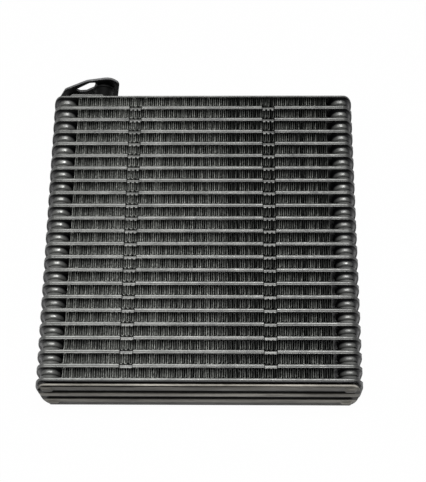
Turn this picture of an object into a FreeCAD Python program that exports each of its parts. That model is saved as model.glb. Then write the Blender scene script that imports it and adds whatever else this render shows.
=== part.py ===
import FreeCAD, Part
import os
import Sketcher

# Evaporator core of drawn-cup plates and corrugated fins, lying on its back.
# X is the width, from the left header to the right one. Y is the stack direction,
# towards the end that carries the refrigerant pipes. Z is the way that the air goes.
# The origin is the middle of the stack on the back face.

SIZES = [
    ("TubePitch", 11.5, "from one flat tube to the next"),
    ("TubeCount", 21, "flat tubes between the two ends"),
    ("TubeThickness", 3.0, "over the two brazed plates"),
    ("PlateWidth", 260.5, "over both headers"),
    ("PlateDepth", 60.0, "front edge to rear edge"),
    ("PlateCorner", 9.0, "rounded end of a tube plate, along the width"),
    ("PlateCornerDepth", 22.0, "rounded end of a tube plate, along the depth"),
    ("CupEndRim", 1.2, "end of the plate to its cups"),
    ("CupRim", 1.0, "front and rear edge of the plate to its cups"),
    ("CupWidth", 21.05, "cup along the width, at its foot"),
    ("CupValley", 2.0, "between the front and the rear cup"),
    ("CupInset", 3.6, "how far the cup's wall leans in"),
    ("CupCorner", 5.4, "corner of a cup"),
    ("NotchOffset", 57.0, "middle of the core to a fixture notch"),
    ("NotchWidth", 11.0, "fixture notch along the width"),
    ("NotchDepth", 1.0, "fixture notch into the front edge"),
    ("FinWaves", 10, "waves in one fin strip"),
    ("FinSheet", 0.3, "fin strip, across the sheet"),
    ("FinEndGap", 1.0, "last wave to the foot of the cups"),
    ("FinSetback", 0.5, "fin strip behind the plates' edges"),
    ("SideSheet", 1.6, "lower side plate"),
    ("SideInset", 2.25, "side plate inside the tube plates"),
    ("SideCorner", 8.0, "rounded end of the side plate, along the width"),
    ("SideCornerDepth", 22.0, "rounded end of the side plate, along the depth"),
    ("BeadDepth", 1.7, "beads pressed in to meet the last tube"),
    ("BeadWidth", 9.0, "bead at its mouth"),
    ("BeadOffset", 9.0, "middle of the depth to a bead"),
    ("BeadMargin", 4.0, "end of a bead to the end of the side plate"),
    ("BeadSlope", 1.5, "how far the wall of a bead leans"),
    ("BossWidth", 10.0, "corner boss along the width, at its foot"),
    ("BossGap", 1.0, "corner boss to the bead next to it"),
    ("BossHeight", 1.5, "corner boss out of the side plate"),
    ("BossSlope", 1.6, "how far the wall of a corner boss leans"),
    ("BossRounding", 0.18, "corner of a corner boss, as a share of its depth"),
    ("BossMargin", 3.5, "corner boss to the end of the side plate"),
    ("BossEdge", 4.5, "corner boss to the long edge of the side plate"),
    ("TopSheet", 1.5, "upper end sheet"),
    ("DuctInset", 30.65, "end of the plates to the middle of the raised duct"),
    ("DuctWidth", 29.0, "raised duct at its foot"),
    ("DuctHeight", 2.8, "raised duct above the end sheet"),
    ("DuctSlope", 2.3, "how far the ends of the duct lean"),
    ("DuctLength", 32.0, "raised duct, back from the front edge"),
    ("DuctBossRadius", 11.0, "round seat of the suction pipe"),
    ("FlangeRise", 19.5, "end sheet to the flange"),
    ("FlangeSheet", 2.0, "pipe flange"),
    ("FlangeCorner", 6.0, "corner of the pipe flange"),
    ("FlangeFarMargin", 15.4, "middle of the liquid pipe to the flange's far end"),
    ("FlangeNearMargin", 14.8, "middle of the suction pipe to the flange's near end"),
    ("FlangeSetback", 4.0, "flange behind the front edge"),
    ("FlangeDepth", 49.5, "pipe flange, front to rear"),
    ("FlangeNose", 7.3, "cut of the near front corner, along the width"),
    ("FlangeNoseDrop", 8.5, "cut of the near front corner, along the depth"),
    ("FlangeShoulder", 28.6, "near end to where the flange's front turns back"),
    ("FlangeShoulderDrop", 5.1, "how far the front falls to the shoulder"),
    ("FlangeCutWidth", 21.2, "width of the long cut corner"),
    ("FlangeCutDrop", 14.7, "how far back the cut corner goes"),
    ("FlangeEndFall", 40.9, "front of the flange to its left corner"),
    ("FlangeToe", 6.3, "how far the near end leans in at the rear"),
    ("SlotLength", 21.0, "oblong hole of the flange"),
    ("SlotWidth", 9.6, "oblong hole, across"),
    ("SlotInset", 27.35, "end of the plates to the middle of the hole"),
    ("SlotSetback", 19.0, "front edge to the middle of the hole"),
    ("SlotAngle", 33.0, "tilt of the hole in the flange"),
    ("PipeFit", 0.1, "gap between a pipe and the flange"),
    ("SpigotRise", 4.0, "pipe ends above the flange"),
    ("SuctionRadius", 8.0, "suction pipe outside"),
    ("SuctionWall", 1.5, "suction pipe wall"),
    ("SuctionInset", 42.25, "end of the plates to the suction pipe"),
    ("SuctionSetback", 22.0, "front edge to the suction pipe"),
    ("LiquidRadius", 5.0, "liquid pipe outside"),
    ("LiquidWall", 1.3, "liquid pipe wall"),
    ("LiquidInset", 13.25, "end of the plates to the liquid pipe"),
    ("LiquidSetback", 39.0, "front edge to the liquid pipe"),
]

# Sizes that follow from the ones in the sheet.
HALF_THICKNESS = "Sizes.TubeThickness / 2"
HALF_WIDTH = "Sizes.PlateWidth / 2"
HALF_DEPTH = "Sizes.PlateDepth / 2"
CUP_HEIGHT = "(Sizes.TubePitch - Sizes.TubeThickness) / 2"
CUP_OUTER = "(Sizes.PlateWidth / 2 - Sizes.CupEndRim)"
CUP_LENGTH = "(Sizes.PlateDepth / 2 - Sizes.CupRim - Sizes.CupValley / 2)"
FIN_HEIGHT = "(Sizes.TubePitch - Sizes.TubeThickness)"
FIN_LENGTH = "(Sizes.PlateWidth - 2 * (Sizes.CupEndRim + Sizes.CupWidth + Sizes.FinEndGap))"
WAVE = "(" + FIN_LENGTH + " / Sizes.FinWaves)"
FIN_RISE = "(Sizes.FinSheet * sqrt(1 + (2 * " + FIN_HEIGHT + " / " + WAVE + ") ^ 2))"
STACK_END = "((Sizes.TubeCount + 1) / 2 * Sizes.TubePitch)"
TOP_FACE = "(" + STACK_END + " - Sizes.TubeThickness / 2 + Sizes.TopSheet)"
LOW_FACE = "(-" + STACK_END + " - Sizes.TubeThickness / 2)"
DUCT_ACROSS = "(Sizes.DuctInset - Sizes.PlateWidth / 2)"
SUCTION = ("(Sizes.SuctionInset - Sizes.PlateWidth / 2)", "(Sizes.PlateDepth - Sizes.SuctionSetback)")
LIQUID = ("(Sizes.LiquidInset - Sizes.PlateWidth / 2)", "(Sizes.PlateDepth - Sizes.LiquidSetback)")
SLOT = ("(Sizes.SlotInset - Sizes.PlateWidth / 2)", "(Sizes.PlateDepth - Sizes.SlotSetback)")

doc = FreeCAD.newDocument("EvaporatorCore")
sheet = doc.addObject("Spreadsheet::Sheet", "Sizes")
for row, (name, value, note) in enumerate(SIZES, 1):
    sheet.set("A%d" % row, name)
    sheet.set("B%d" % row, str(value))
    sheet.set("C%d" % row, note)
    sheet.setAlias("B%d" % row, name)
doc.recompute()

nodes = []


def measure(expression):
    """The value of an expression, in millimetres, as the sheet gives it now."""
    return float(sheet.evalExpression(expression))


def new_body(label, across="0", along="0", depth="0"):
    """An empty body with its Label and a Placement bound to the sheet."""
    body = doc.addObject("PartDesign::Body", label)
    body.Label = label
    body.setExpression("Placement.Base.x", across)
    body.setExpression("Placement.Base.y", along)
    body.setExpression("Placement.Base.z", depth)
    nodes.append(body)
    return body


def origin_plane(body, role):
    return [part for part in body.Origin.OriginFeatures if part.Role == role][0]


def new_sketch(body, name, role, lift=None):
    """A sketch on one of the body's origin planes, or lifted off it along its normal."""
    sketch = body.newObject("Sketcher::SketchObject", name)
    sketch.AttachmentSupport = [(origin_plane(body, role), "")]
    sketch.MapMode = "FlatFace"
    if lift:
        sketch.setExpression("AttachmentOffset.Base.z", lift)
    return sketch


def add_polygon(sketch, points):
    """A closed polygon whose corners are bound to pairs of expressions."""
    first = sketch.GeometryCount
    start = sketch.ConstraintCount
    count = len(points)
    corners = [FreeCAD.Vector(measure(across), measure(up), 0) for across, up in points]
    lines = [Part.LineSegment(corners[i], corners[(i + 1) % count]) for i in range(count)]
    rules = [Sketcher.Constraint("Coincident", first + i, 2, first + (i + 1) % count, 1)
             for i in range(count)]
    for i, corner in enumerate(corners):
        rules.append(Sketcher.Constraint("DistanceX", -1, 1, first + i, 1, corner.x))
        rules.append(Sketcher.Constraint("DistanceY", -1, 1, first + i, 1, corner.y))
    sketch.addGeometry(lines, False)
    sketch.addConstraint(rules)
    for i, (across, up) in enumerate(points):
        sketch.setExpression("Constraints[%d]" % (start + count + 2 * i), across)
        sketch.setExpression("Constraints[%d]" % (start + count + 2 * i + 1), up)


def add_circle(sketch, across, up, radius):
    """A circle whose centre and radius are bound to expressions."""
    centre = FreeCAD.Vector(measure(across), measure(up), 0)
    ring = sketch.addGeometry(Part.Circle(centre, FreeCAD.Vector(0, 0, 1), measure(radius)), False)
    bound = [("DistanceX", across, centre.x), ("DistanceY", up, centre.y)]
    for kind, value, at in bound:
        index = sketch.addConstraint(Sketcher.Constraint(kind, -1, 1, ring, 3, at))
        sketch.setExpression("Constraints[%d]" % index, value)
    index = sketch.addConstraint(Sketcher.Constraint("Radius", ring, measure(radius)))
    sketch.setExpression("Constraints[%d]" % index, radius)


def pad_along_stack(body, name, sketch, above, below=None):
    """Pads a sketch of the XZ plane towards +Y, and towards -Y if below is given."""
    pad = body.newObject("PartDesign::Pad", name)
    pad.Profile = sketch
    pad.Reversed = True
    pad.setExpression("Length", above)
    if below:
        pad.SideType = "Two sides"
        pad.setExpression("Length2", below)
    return pad


def add_wedge(body, kind, name, foot, crown, across, depth, slope):
    """A box whose four walls lean in by slope from the foot to the crown, along Y.

    across and depth each hold the lower and the upper bound at the foot.
    """
    wedge = body.newObject("PartDesign::" + kind, name)
    wide = [across[0], across[1], depth[0], depth[1]]
    narrow = [across[0] + " + " + slope, across[1] + " - " + slope]
    narrow += [depth[0] + " + " + slope, depth[1] + " - " + slope]
    if measure(crown) > measure(foot):
        levels, first, second = [foot, crown], wide, narrow
    else:
        levels, first, second = [crown, foot], narrow, wide
    keys = ["Ymin", "Ymax", "Xmin", "Xmax", "Zmin", "Zmax", "X2min", "X2max", "Z2min", "Z2max"]
    for key, value in zip(keys, levels + first + second):
        setattr(wedge, key, measure(value))
        wedge.setExpression(key, value)
    return wedge


def mirror_feature(body, name, feature, roles):
    """Repeats a feature across the named origin planes of its body."""
    pattern = body.newObject("PartDesign::MultiTransform", name)
    mirrors = []
    for role in roles:
        mirror = doc.addObject("PartDesign::Mirrored", name + role[:2])
        mirror.MirrorPlane = (origin_plane(body, role), [""])
        mirrors.append(mirror)
    pattern.Originals = [feature]
    pattern.Transformations = mirrors
    body.Tip = pattern
    return pattern


def leaning_edges(shape, foot, crown):
    """Names of the straight edges that rise from one height of Y to another and lean."""
    names = []
    for number, edge in enumerate(shape.Edges, 1):
        ends = sorted(vertex.Point.y for vertex in edge.Vertexes)
        run = edge.tangentAt(edge.FirstParameter)
        level = [abs(ends[0] - min(foot, crown)), abs(ends[-1] - max(foot, crown))]
        if max(level) < 1e-6 and abs(run.y) < 0.999:
            names.append("Edge%d" % number)
    return names


def trim_corners(body, name, base, levels, size):
    """Chamfers the four leaning corners of each wedge that stands between two levels."""
    doc.recompute()
    names = []
    for foot, crown in levels:
        names += leaning_edges(base.Shape, measure(foot), measure(crown))
    chamfer = body.newObject("PartDesign::Chamfer", name)
    chamfer.Base = (base, names)
    chamfer.setExpression("Size", size)


def round_plate_ends(body, name, half_width, corner, above, below=None):
    """Cuts the four corners of a plate, and of its cups, to three chords of a quarter ellipse."""
    sketch = new_sketch(body, name + "_outline", "XZ_Plane")
    chords = []
    for off_end, off_front in (("0", "1"), ("0.134", "0.5"), ("0.5", "0.134"), ("1", "0"), ("0", "0")):
        across = "(" + half_width + " - " + off_end + " * Sizes." + corner + ")"
        up = "(" + HALF_DEPTH + " - " + off_front + " * Sizes." + corner + "Depth)"
        chords.append((across, up))
    for side in ("", "-"):
        for end in ("", "-"):
            add_polygon(sketch, [(side + across, end + up) for across, up in chords])
    cut = body.newObject("PartDesign::Pocket", name)
    cut.Profile = sketch
    cut.setExpression("Length", above)
    if below:
        cut.SideType = "Two sides"
        cut.setExpression("Length2", below)


def plate_outline(half_width, notched):
    """The outline of a plate in X and Z, about its middle, before its ends are rounded."""
    front = HALF_DEPTH
    points = [("-" + half_width, "-" + front), (half_width, "-" + front), (half_width, front)]
    if notched:
        floor = "(" + HALF_DEPTH + " - Sizes.NotchDepth)"
        reach = ["(Sizes.NotchOffset " + sign + " Sizes.NotchWidth / 2)" for sign in ("+", "-")]
        points += [(reach[0], front), (reach[0], floor), (reach[1], floor), (reach[1], front)]
        points += [("-" + reach[1], front), ("-" + reach[1], floor)]
        points += [("-" + reach[0], floor), ("-" + reach[0], front)]
    points.append(("-" + half_width, front))
    return points


def make_cup_plate(label, along, above, below, cups, notched):
    """A flat piece of the stack with two drawn cups at each end, on one or both faces."""
    body = new_body(label, along=along, depth=HALF_DEPTH)
    outline = new_sketch(body, label + "_outline", "XZ_Plane")
    add_polygon(outline, plate_outline(HALF_WIDTH, notched))
    pad_along_stack(body, label + "_web", outline, above, below)
    doc.recompute()
    across = [CUP_OUTER + " - Sizes.CupWidth", CUP_OUTER]
    depth = ["Sizes.CupValley / 2", "Sizes.CupValley / 2 + " + CUP_LENGTH]
    planes = ["YZ_Plane", "XY_Plane"]
    if cups == "below":
        foot, crown = "0", "-" + CUP_HEIGHT
    else:
        foot, crown = HALF_THICKNESS, HALF_THICKNESS + " + " + CUP_HEIGHT
    levels = [(foot, crown)]
    if cups == "both":
        planes.append("XZ_Plane")
        levels.append(("-(" + foot + ")", "-(" + crown + ")"))
    cup = add_wedge(body, "AdditiveWedge", label + "_cup", foot, crown, across, depth, "Sizes.CupInset")
    pattern = mirror_feature(body, label + "_cups", cup, planes)
    trim_corners(body, label + "_bowls", pattern, levels, "Sizes.CupCorner")
    reach = HALF_THICKNESS + " + " + CUP_HEIGHT
    upward = above if cups == "below" else reach
    downward = below if cups == "above" else reach
    round_plate_ends(body, label + "_ends", HALF_WIDTH, "PlateCorner", upward, downward)


def make_fin(label, along):
    """A corrugated strip: one wave of bent sheet, repeated along the width."""
    body = new_body(label, along=along, depth=HALF_DEPTH)
    sketch = new_sketch(body, label + "_wave", "XY_Plane")
    start = "(-" + FIN_LENGTH + " / 2)"
    middle = "(" + start + " + " + WAVE + " / 2)"
    end = "(" + start + " + " + WAVE + ")"
    low = "(-" + FIN_HEIGHT + " / 2)"
    high = "(" + FIN_HEIGHT + " / 2)"
    add_polygon(sketch, [
        (start, low), (middle, high + " - " + FIN_RISE), (end, low),
        (end, low + " + " + FIN_RISE), (middle, high), (start, low + " + " + FIN_RISE),
    ])
    pad = body.newObject("PartDesign::Pad", label + "_sheet")
    pad.Profile = sketch
    pad.SideType = "Symmetric"
    pad.setExpression("Length", "Sizes.PlateDepth - 2 * Sizes.FinSetback")
    waves = body.newObject("PartDesign::LinearPattern", label + "_waves")
    waves.Originals = [pad]
    waves.Direction = (sketch, ["H_Axis"])
    waves.setExpression("Length", FIN_LENGTH + " - " + WAVE)
    waves.setExpression("Occurrences", "Sizes.FinWaves")
    body.Tip = waves


def make_side_plate():
    """The stamped lower side plate: two long beads pressed in, four corner bosses pressed out."""
    label = "side_plate_lower"
    body = new_body(label, along=LOW_FACE + " - Sizes.BeadDepth", depth=HALF_DEPTH)
    half = "(" + HALF_WIDTH + " - Sizes.SideInset)"
    outline = new_sketch(body, "side_outline", "XZ_Plane", lift="Sizes.SideSheet")
    add_polygon(outline, plate_outline(half, False))
    pad_along_stack(body, "side_sheet", outline, "Sizes.SideSheet")
    doc.recompute()

    reach = "(" + half + " - Sizes.BeadMargin)"
    span = ["-" + reach, reach]
    row = ["Sizes.BeadOffset - Sizes.BeadWidth / 2", "Sizes.BeadOffset + Sizes.BeadWidth / 2"]
    inner = ["0", "Sizes.BeadDepth"]
    outer = ["-Sizes.SideSheet", "-Sizes.SideSheet + Sizes.BeadDepth"]
    bead = add_wedge(body, "AdditiveWedge", "bead", inner[0], inner[1], span, row, "Sizes.BeadSlope")
    mirror_feature(body, "beads", bead, ["XY_Plane"])
    groove = add_wedge(body, "SubtractiveWedge", "groove", outer[0], outer[1], span, row, "Sizes.BeadSlope")
    mirror_feature(body, "grooves", groove, ["XY_Plane"])

    outer_end = "(" + half + " - Sizes.BossMargin)"
    outer_edge = "(" + HALF_DEPTH + " - Sizes.BossEdge)"
    across = [outer_end + " - Sizes.BossWidth", outer_end]
    depth = ["(Sizes.BeadOffset + Sizes.BeadWidth / 2 + Sizes.BossGap)", outer_edge]
    crown = "-Sizes.SideSheet - Sizes.BossHeight"
    boss = add_wedge(body, "AdditiveWedge", "boss", "-Sizes.SideSheet", crown, across, depth,
                     "Sizes.BossSlope")
    bosses = mirror_feature(body, "bosses", boss, ["YZ_Plane", "XY_Plane"])
    trim_corners(body, "boss_corners", bosses, [("-Sizes.SideSheet", crown)],
                 "Sizes.BossRounding * (" + depth[1] + " - " + depth[0] + ")")
    round_plate_ends(body, "side_ends", half, "SideCorner", "Sizes.SideSheet", "Sizes.SideSheet")


def make_port_cover():
    """The raised duct on the upper end sheet, with the round seat of the suction pipe."""
    body = new_body("port_cover", across=DUCT_ACROSS, along=TOP_FACE, depth="Sizes.PlateDepth")
    front = new_sketch(body, "duct_front", "XY_Plane")
    half = "(Sizes.DuctWidth / 2)"
    add_polygon(front, [
        ("-" + half, "0"), (half, "0"),
        (half + " - Sizes.DuctSlope", "Sizes.DuctHeight"),
        ("-" + half + " + Sizes.DuctSlope", "Sizes.DuctHeight"),
    ])
    duct = body.newObject("PartDesign::Pad", "duct")
    duct.Profile = front
    duct.Reversed = True
    duct.setExpression("Length", "Sizes.DuctLength")
    seat = new_sketch(body, "seat_ring", "XZ_Plane")
    add_circle(seat, SUCTION[0] + " - " + DUCT_ACROSS, "-Sizes.SuctionSetback", "Sizes.DuctBossRadius")
    pad_along_stack(body, "seat", seat, "Sizes.DuctHeight")


def make_flange():
    """The pipe flange: a flat stamping with two pipe holes and one oblong hole."""
    body = new_body("pipe_flange", along=TOP_FACE + " + Sizes.FlangeRise")
    outline = new_sketch(body, "flange_outline", "XZ_Plane")
    far = "(" + LIQUID[0] + " - Sizes.FlangeFarMargin)"
    near = "(" + SUCTION[0] + " + Sizes.FlangeNearMargin)"
    front = "(Sizes.PlateDepth - Sizes.FlangeSetback)"
    back = "(" + front + " - Sizes.FlangeDepth)"
    shoulder = (near + " - Sizes.FlangeShoulder", front + " - Sizes.FlangeShoulderDrop")
    add_polygon(outline, [
        (far, back),
        (near + " - Sizes.FlangeToe", back),
        (near, front + " - Sizes.FlangeNoseDrop"),
        (near + " - Sizes.FlangeNose", front),
        shoulder,
        (shoulder[0] + " - Sizes.FlangeCutWidth", shoulder[1] + " - Sizes.FlangeCutDrop"),
        (far, front + " - Sizes.FlangeEndFall"),
    ])
    sheet_pad = pad_along_stack(body, "flange_sheet", outline, "Sizes.FlangeSheet")
    doc.recompute()
    upright = []
    for number, edge in enumerate(sheet_pad.Shape.Edges, 1):
        if abs(edge.tangentAt(edge.FirstParameter).y) > 0.999:
            upright.append("Edge%d" % number)
    rounded = body.newObject("PartDesign::Fillet", "flange_corners")
    rounded.Base = (sheet_pad, upright)
    rounded.setExpression("Radius", "Sizes.FlangeCorner")

    holes = new_sketch(body, "pipe_holes", "XZ_Plane")
    add_circle(holes, SUCTION[0], SUCTION[1], "Sizes.SuctionRadius + Sizes.PipeFit")
    add_circle(holes, LIQUID[0], LIQUID[1], "Sizes.LiquidRadius + Sizes.PipeFit")
    bore = body.newObject("PartDesign::Pocket", "pipe_bores")
    bore.Profile = holes
    bore.setExpression("Length", "Sizes.FlangeSheet")

    slot = new_sketch(body, "slot_outline", "XZ_Plane")
    add_slot(slot)
    window = body.newObject("PartDesign::Pocket", "slot")
    window.Profile = slot
    window.setExpression("Length", "Sizes.FlangeSheet")


def add_slot(sketch):
    """An oblong hole: two straight sides and two round ends, tilted in its sketch."""
    radius = "(Sizes.SlotWidth / 2)"
    half = "((Sizes.SlotLength - Sizes.SlotWidth) / 2)"
    tilt = "(Sizes.SlotAngle * 1 deg)"
    ends = []
    for sign in ("-", "+"):
        across = SLOT[0] + " " + sign + " " + half + " * cos" + tilt
        up = SLOT[1] + " " + sign + " " + half + " * sin" + tilt
        ends.append((across, up))
    centres = [FreeCAD.Vector(measure(across), measure(up), 0) for across, up in ends]
    run = (centres[1] - centres[0]).normalize()
    side = FreeCAD.Vector(-run.y, run.x, 0) * measure(radius)
    tip = run * measure(radius)
    left = Part.Arc(centres[0] + side, centres[0] - tip, centres[0] - side)
    right = Part.Arc(centres[1] - side, centres[1] + tip, centres[1] + side)
    sketch.addGeometry(left, False)
    sketch.addGeometry(Part.LineSegment(centres[0] - side, centres[1] - side), False)
    sketch.addGeometry(right, False)
    sketch.addGeometry(Part.LineSegment(centres[1] + side, centres[0] + side), False)
    for arc, line, arc_end, line_end in ((0, 1, 2, 1), (2, 1, 1, 2), (2, 3, 2, 1), (0, 3, 1, 2)):
        sketch.addConstraint(Sketcher.Constraint("Tangent", arc, arc_end, line, line_end))
    for arc, (across, up), centre in ((0, ends[0], centres[0]), (2, ends[1], centres[1])):
        index = sketch.addConstraint(Sketcher.Constraint("DistanceX", -1, 1, arc, 3, centre.x))
        sketch.setExpression("Constraints[%d]" % index, across)
        index = sketch.addConstraint(Sketcher.Constraint("DistanceY", -1, 1, arc, 3, centre.y))
        sketch.setExpression("Constraints[%d]" % index, up)
    index = sketch.addConstraint(Sketcher.Constraint("Radius", 0, measure(radius)))
    sketch.setExpression("Constraints[%d]" % index, radius)


def make_pipe(label, prefix, place, foot):
    """A pipe stub, turned about its own axis, from its seat through the flange."""
    body = new_body(label, across=place[0], along=foot, depth=place[1])
    outer = "Sizes." + prefix + "Radius"
    inner = "(" + outer + " - Sizes." + prefix + "Wall)"
    end = "(" + TOP_FACE + " + Sizes.FlangeRise + Sizes.FlangeSheet + Sizes.SpigotRise - " + foot + ")"
    section = new_sketch(body, label + "_section", "XY_Plane")
    add_polygon(section, [(inner, "0"), (outer, "0"), (outer, end), (inner, end)])
    turned = body.newObject("PartDesign::Revolution", label + "_wall")
    turned.Profile = section
    turned.ReferenceAxis = (section, ["V_Axis"])
    turned.Angle = 360.0


def build_stack():
    """Flat tubes and fin strips in turn, numbered from the end with the pipes."""
    tubes = int(measure("Sizes.TubeCount"))
    for number in range(1, tubes + 1):
        along = STACK_END + " - %d * Sizes.TubePitch" % number
        make_cup_plate("tube_%02d" % number, along, HALF_THICKNESS, HALF_THICKNESS, "both", True)
    for number in range(1, tubes + 2):
        make_fin("fin_%02d" % number, STACK_END + " - (%d - 0.5) * Sizes.TubePitch" % number)


def check_and_export():
    """Stops if anything failed, then writes one STEP file for each sub-part."""
    doc.recompute()
    for item in doc.Objects:
        if "Invalid" in item.State or "Error" in item.State:
            raise RuntimeError(item.Label + " did not recompute: " + ", ".join(item.State))
    for node in nodes:
        if node.Shape.isNull() or not node.Shape.isValid() or len(node.Shape.Solids) != 1:
            raise RuntimeError(node.Label + " has no valid single solid")
    os.makedirs("parts", exist_ok=True)
    for node in nodes:
        node.Shape.exportStep("parts/" + node.Label + ".step")
        print(node.Label, round(node.Shape.Volume), "mm3")


build_stack()
make_cup_plate("end_tube_lower", "-" + STACK_END, HALF_THICKNESS, HALF_THICKNESS, "above", False)
make_cup_plate("end_sheet_upper", STACK_END + " - " + HALF_THICKNESS, "Sizes.TopSheet", None,
               "below", False)
make_side_plate()
make_port_cover()
make_flange()
make_pipe("suction_pipe", "Suction", SUCTION, "(" + TOP_FACE + " + Sizes.DuctHeight)")
make_pipe("liquid_pipe", "Liquid", LIQUID, TOP_FACE)
check_and_export()
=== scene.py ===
# %% [markdown]
# # An evaporator core of drawn-cup plates
#
# This is the cold heat exchanger of a vehicle's air conditioning. Stamped aluminium plates are
# brazed in pairs to flat tubes, their cups meet in columns at both sides and form the headers,
# and corrugated fins fill the space between the tubes. The core lies on its back: X is the width,
# Y goes along the stack of tubes to the pipe end, and Z goes through the fins to the front face.
# The solids come from the CAD frame. This script dresses them: it rebuilds each stamping with its
# rolled edges and round bowls, and makes the fins wave by wave.

# %% Load the frame
import math

import bmesh
import bpy
from mathutils import Matrix, Vector


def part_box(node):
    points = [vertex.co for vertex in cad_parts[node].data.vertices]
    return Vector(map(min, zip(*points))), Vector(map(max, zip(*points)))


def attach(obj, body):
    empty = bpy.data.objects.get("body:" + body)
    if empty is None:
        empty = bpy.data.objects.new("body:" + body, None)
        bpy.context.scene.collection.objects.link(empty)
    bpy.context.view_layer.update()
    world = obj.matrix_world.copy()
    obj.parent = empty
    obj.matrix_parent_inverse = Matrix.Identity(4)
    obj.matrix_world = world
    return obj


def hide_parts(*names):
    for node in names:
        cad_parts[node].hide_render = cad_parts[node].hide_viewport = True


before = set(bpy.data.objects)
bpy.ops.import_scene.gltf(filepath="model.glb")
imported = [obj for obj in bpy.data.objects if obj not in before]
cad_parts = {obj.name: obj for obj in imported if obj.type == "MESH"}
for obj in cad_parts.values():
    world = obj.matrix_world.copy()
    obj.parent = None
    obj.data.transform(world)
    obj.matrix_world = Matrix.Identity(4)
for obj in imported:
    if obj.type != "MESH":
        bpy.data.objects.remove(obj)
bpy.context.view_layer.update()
scene = bpy.context.scene

# %% [markdown]
# ## The sizes that repeat
#
# The stack has one pitch: a tube, a fin strip, a tube, and so on. Reading the pitch from the CAD
# boxes, and not typing it again, keeps every new piece on its solid. Lengths are written in
# millimetres and turned to metres when a mesh is made.

# %% Sizes from the frame
MM = 0.001


def node_box(name):
    """Lowest and highest corners of a CAD node, in millimetres."""
    low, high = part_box(name)
    return low / MM, high / MM


TUBES = [name for name in sorted(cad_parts) if name.startswith("tube_")]
FINS = [name for name in sorted(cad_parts) if name.startswith("fin_")]
first_low, first_high = node_box(TUBES[0])
PITCH = first_high.y - node_box(TUBES[1])[1].y
TUBE_TOP = (first_low.y + first_high.y) / 2
HALF_WIDTH = first_high.x
DEPTH = first_high.z
MIDDLE = DEPTH / 2
HALF_TUBE = 1.5
CUP_HEIGHT = PITCH / 2 - HALF_TUBE
fin_low, fin_high = node_box(FINS[0])
print("pitch", round(PITCH, 3), "tubes", len(TUBES), "fins", len(FINS), "half width", round(HALF_WIDTH, 2))

# %% [markdown]
# ## Lofting one ring of points onto the next
#
# Every stamping here is a closed line in X and Z that moves in as it rises along Y: the rolled
# edge of a plate, the wall of a bowl, the slope of a bead. One helper joins such rings with
# quads, and another fills the flat sheet between the outline and the holes.

# %% Mesh helpers
def new_mesh():
    """An empty mesh with a layer of painted shade: 0 is bare metal, 1 is painted dark, as at the bottom of
    a shadowed recess.
    """
    bm = bmesh.new()
    bm.verts.layers.float.new("painted_shade")
    return bm


def ring(bm, points, height, painted_shade=0.0, shade=None):
    """Vertices for a closed line of (x, z) points at one height of y, all in millimetres.

    shade gives more painted shade from x, such as round the ends of a plate."""
    layer = bm.verts.layers.float["painted_shade"]
    verts = []
    for i, (x, z) in enumerate(points):
        level = height[i] if isinstance(height, list) else height
        vert = bm.verts.new((x * MM, level * MM, z * MM))
        vert[layer] = min(1.0, painted_shade + (shade(x) if shade else 0.0))
        verts.append(vert)
    return verts


def smooth(value, low, high):
    """0 below low, 1 above high and an eased step between them."""
    share = min(1.0, max(0.0, (value - low) / (high - low)))
    return share * share * (3 - 2 * share)


def loft(bm, rings):
    """Quads between rings that have the same number of vertices."""
    for lower, upper in zip(rings, rings[1:]):
        count = len(lower)
        for i in range(count):
            j = (i + 1) % count
            face = bm.faces.new((lower[i], lower[j], upper[j], upper[i]))
            face.smooth = True


def fill_flat(bm, rings):
    """Fills the flat sheet between closed rings: the first is the outline, the others are holes."""
    edges = []
    for verts in rings:
        for i, vert in enumerate(verts):
            following = verts[(i + 1) % len(verts)]
            edges.append(bm.edges.get((vert, following)) or bm.edges.new((vert, following)))
    bmesh.ops.triangle_fill(bm, use_beauty=True, use_dissolve=False, edges=edges, normal=(0, 1, 0))


def inset(points, distance):
    """Moves a closed line of (x, z) points inwards, each along the mean of its two sides."""
    turn = sum(a[0] * b[1] - b[0] * a[1] for a, b in zip(points, points[1:] + points[:1]))
    side = 1 if turn > 0 else -1
    moved = []
    for i, (x, z) in enumerate(points):
        back, ahead = points[i - 1], points[(i + 1) % len(points)]
        first = Vector((x - back[0], z - back[1])).normalized()
        second = Vector((ahead[0] - x, ahead[1] - z)).normalized()
        normal = Vector((-first.y - second.y, first.x + second.x)) * side
        normal = normal / max(normal.length, 1e-6)
        stretch = 1 / max(abs(normal.dot(Vector((-first.y, first.x)))), 0.5)
        moved.append((x + normal.x * distance * stretch, z + normal.y * distance * stretch))
    return moved


def rounded_box(low, high, radii, step=6.0, arc=6):
    """A rectangle in X and Z, its corners rounded by quarter ellipses, its sides cut every step.

    radii is one (x, z) pair, or four from the high corner round to the one at high x and low z."""
    if not isinstance(radii, list):
        radii = [radii if isinstance(radii, tuple) else (radii, radii)] * 4
    corners = [(high[0], high[1], -1, -1), (low[0], high[1], 1, -1),
               (low[0], low[1], 1, 1), (high[0], low[1], -1, 1)]
    points = []
    for quarter, ((x, z, inward_x, inward_z), (across, along_z)) in enumerate(zip(corners, radii)):
        for i in range(arc + 1):
            angle = math.radians(90 * quarter + 90 * i / arc)
            points.append((x + inward_x * across + across * math.cos(angle),
                           z + inward_z * along_z + along_z * math.sin(angle)))
    return split_sides(points, step)


def split_sides(points, step):
    """Adds points to the sides that are longer than step."""
    result = []
    for (x, z), (next_x, next_z) in zip(points, points[1:] + points[:1]):
        pieces = max(1, math.ceil(math.hypot(next_x - x, next_z - z) / step))
        result += [(x + (next_x - x) * i / pieces, z + (next_z - z) * i / pieces) for i in range(pieces)]
    return result


def circle(x, z, radius, count):
    """A closed line of count points round (x, z)."""
    return [(x + radius * math.cos(math.tau * i / count), z + radius * math.sin(math.tau * i / count))
            for i in range(count)]


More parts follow.
